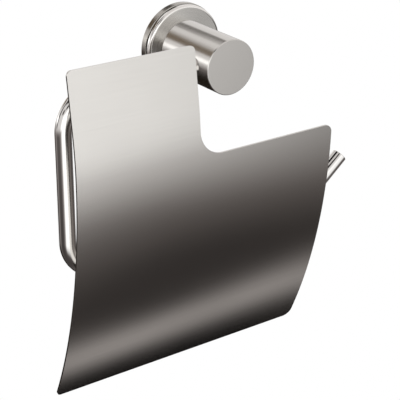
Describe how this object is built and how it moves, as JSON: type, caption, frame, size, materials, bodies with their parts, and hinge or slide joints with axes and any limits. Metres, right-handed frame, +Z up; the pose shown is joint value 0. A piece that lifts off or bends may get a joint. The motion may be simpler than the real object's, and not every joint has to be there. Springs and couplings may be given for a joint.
{
  "type": "toilet paper holder",
  "caption": "Wall-mounted toilet paper holder: a round foot and post, a bent wire arm that the roll slides on to, and a curved sheet-metal cover hinged over the roll.",
  "frame": {"origin": "centre of the foot's back face, on the wall and on the post's axis", "axes": "+X to the right as seen from the room, +Y into the wall (the holder stands out towards -Y), +Z up"},
  "size_m": [0.1605, 0.0432, 0.1734],
  "materials": {
    "turned_steel": "finely turned and brushed round its axis",
    "polished_wire": "polished stainless steel",
    "cover_sheet": "satin stainless sheet",
    "clip_sheet": "mill-finish stainless strip",
    "screw_steel": "dark, lightly oiled",
    "bush_plastic": "moulded, off-white",
    "bumper_rubber": "soft, matt"
  },
  "bodies": {
    "frame": {"wall_plate": "turned_steel", "spigot": "turned_steel", "spigot_screw": "screw_steel", "locating_pin": "screw_steel", "rosette": "turned_steel", "post": "turned_steel", "post_grub_screw": "screw_steel", "rod_grub_screw": "screw_steel", "roll_rod": "polished_wire"},
    "cover": {"cover_plate": "cover_sheet", "hinge_clip_left": "clip_sheet", "hinge_clip_right": "clip_sheet", "hinge_bush_left": "bush_plastic", "hinge_bush_right": "bush_plastic", "bumper_left": "bumper_rubber", "bumper_right": "bumper_rubber"}
  },
  "joints": [
    {"name": "cover_hinge", "type": "hinge", "parent": "frame", "child": "cover", "pos_m": [0, -0.0314, 0], "axis": [-1, 0, 0], "range_deg": [0, 170]}
  ]
}
